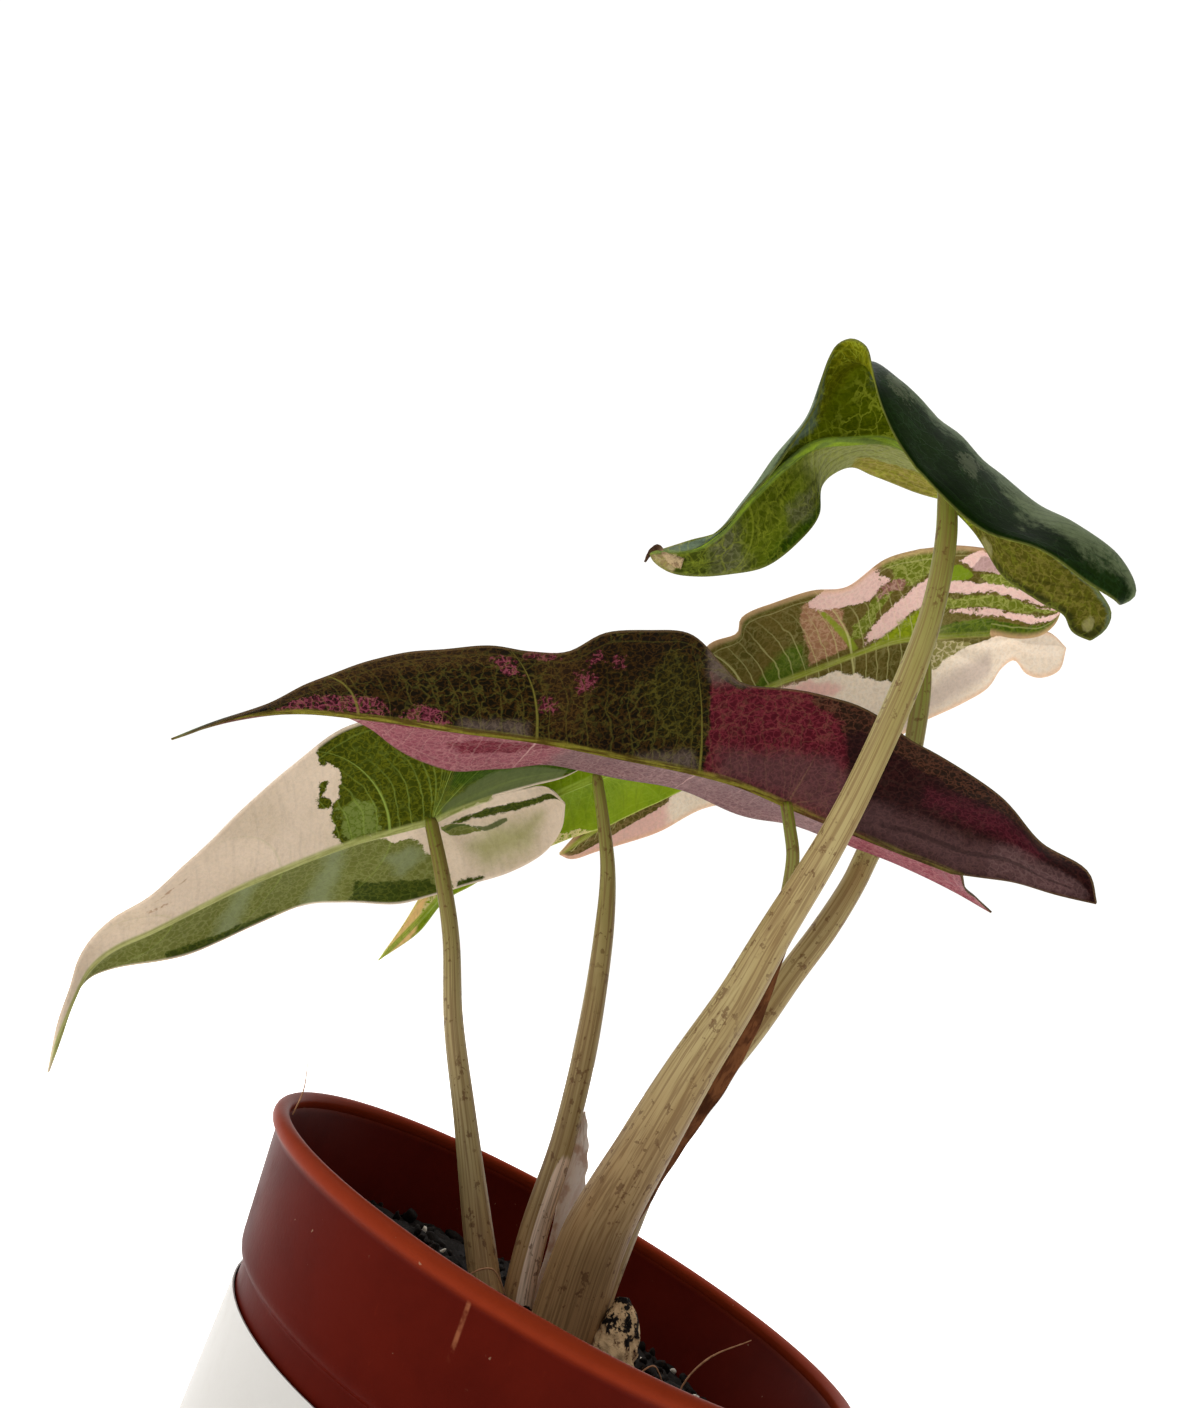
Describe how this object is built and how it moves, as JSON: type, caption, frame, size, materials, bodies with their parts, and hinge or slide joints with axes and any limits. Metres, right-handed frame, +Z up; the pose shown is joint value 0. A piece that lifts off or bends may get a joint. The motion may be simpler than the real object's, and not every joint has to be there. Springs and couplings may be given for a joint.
{
  "type": "potted alocasia polly",
  "caption": "Young variegated alocasia plant with arrow-shaped leaves on upright stalks, growing in a round tapered nursery pot with a collar, rim and blank label.",
  "frame": {"origin": "middle of the pot's underside, on the surface that it stands on", "axes": "+Z up, -Y towards the picture's viewer, +X to the viewer's right"},
  "size_m": [0.1771, 0.1225, 0.2803],
  "materials": {
    "pot_plastic": "satin injection-moulded",
    "label_film": "matt blank film",
    "potting_mix": "crumbly bark and peat, matt",
    "rhizome_bark": "dry, matt",
    "stalk_skin": "smooth, finely striped",
    "dry_skin": "thin dry skin",
    "blade_green": "glossy dark leaf",
    "blade_wine": "satin leaf underside",
    "blade_cream": "satin leaf underside",
    "blade_pink": "satin leaf underside",
    "blade_lime": "satin leaf underside"
  },
  "bodies": {
    "root": {"pot": "pot_plastic", "label": "label_film", "potting_mix": "potting_mix", "rhizome": "rhizome_bark", "stalk_top": "stalk_skin", "stalk_front": "stalk_skin", "stalk_left": "stalk_skin", "stalk_back": "stalk_skin", "stalk_low": "stalk_skin", "papery_sheath": "dry_skin", "blade_top": "blade_green", "blade_front": "blade_wine", "blade_left": "blade_cream", "blade_back": "blade_pink", "blade_low": "blade_lime"}
  },
  "joints": []
}
